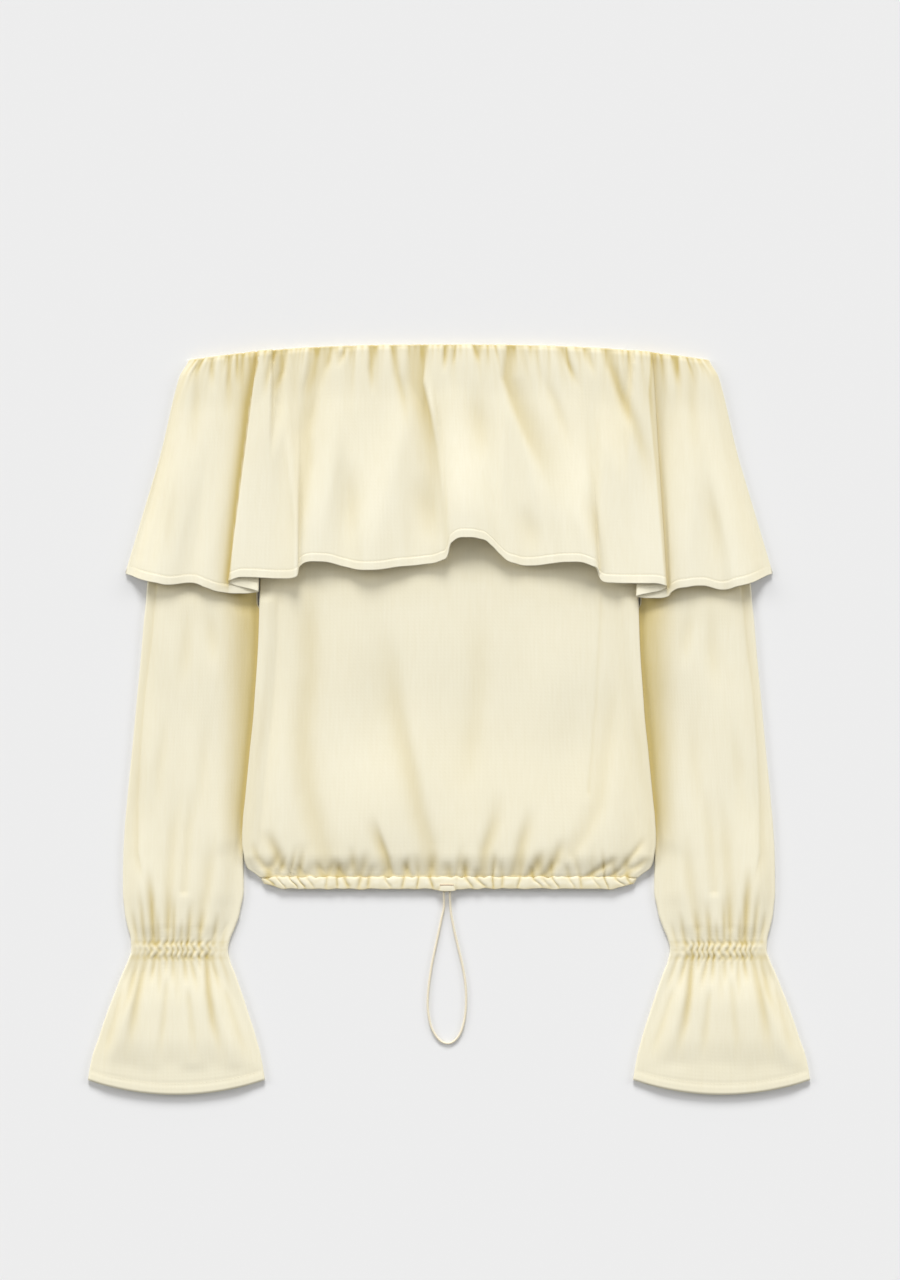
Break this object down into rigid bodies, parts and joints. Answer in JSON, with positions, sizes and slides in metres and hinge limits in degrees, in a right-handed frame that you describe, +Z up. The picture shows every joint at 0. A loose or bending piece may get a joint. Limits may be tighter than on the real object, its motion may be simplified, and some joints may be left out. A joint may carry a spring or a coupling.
{
  "type": "off-shoulder blouse laid flat",
  "caption": "Long-sleeved off-shoulder blouse laid flat, with a deep gathered ruffle round the neckline, shirred wrists with flared cuffs, and a hem casing with a cord.",
  "frame": {"origin": "on the surface that the blouse lies on, under the middle of its outline", "axes": "+X to the right across the blouse as it is looked at, +Y up towards the neckline, +Z up from the surface"},
  "size_m": [0.6136, 0.637, 0.0165],
  "materials": {
    "cream_cloth": "soft matt woven cloth, cream",
    "cream_cloth_back": "soft matt woven cloth, cream",
    "cream_cord": "thin twisted cord, cream"
  },
  "bodies": {
    "root": {"ruffle_front": "cream_cloth", "ruffle_back": "cream_cloth_back", "front_panel": "cream_cloth", "back_panel": "cream_cloth_back", "sleeve_left": "cream_cloth", "sleeve_right": "cream_cloth", "hem_casing": "cream_cloth", "cord_tab": "cream_cloth", "drawcord": "cream_cord"}
  },
  "joints": []
}
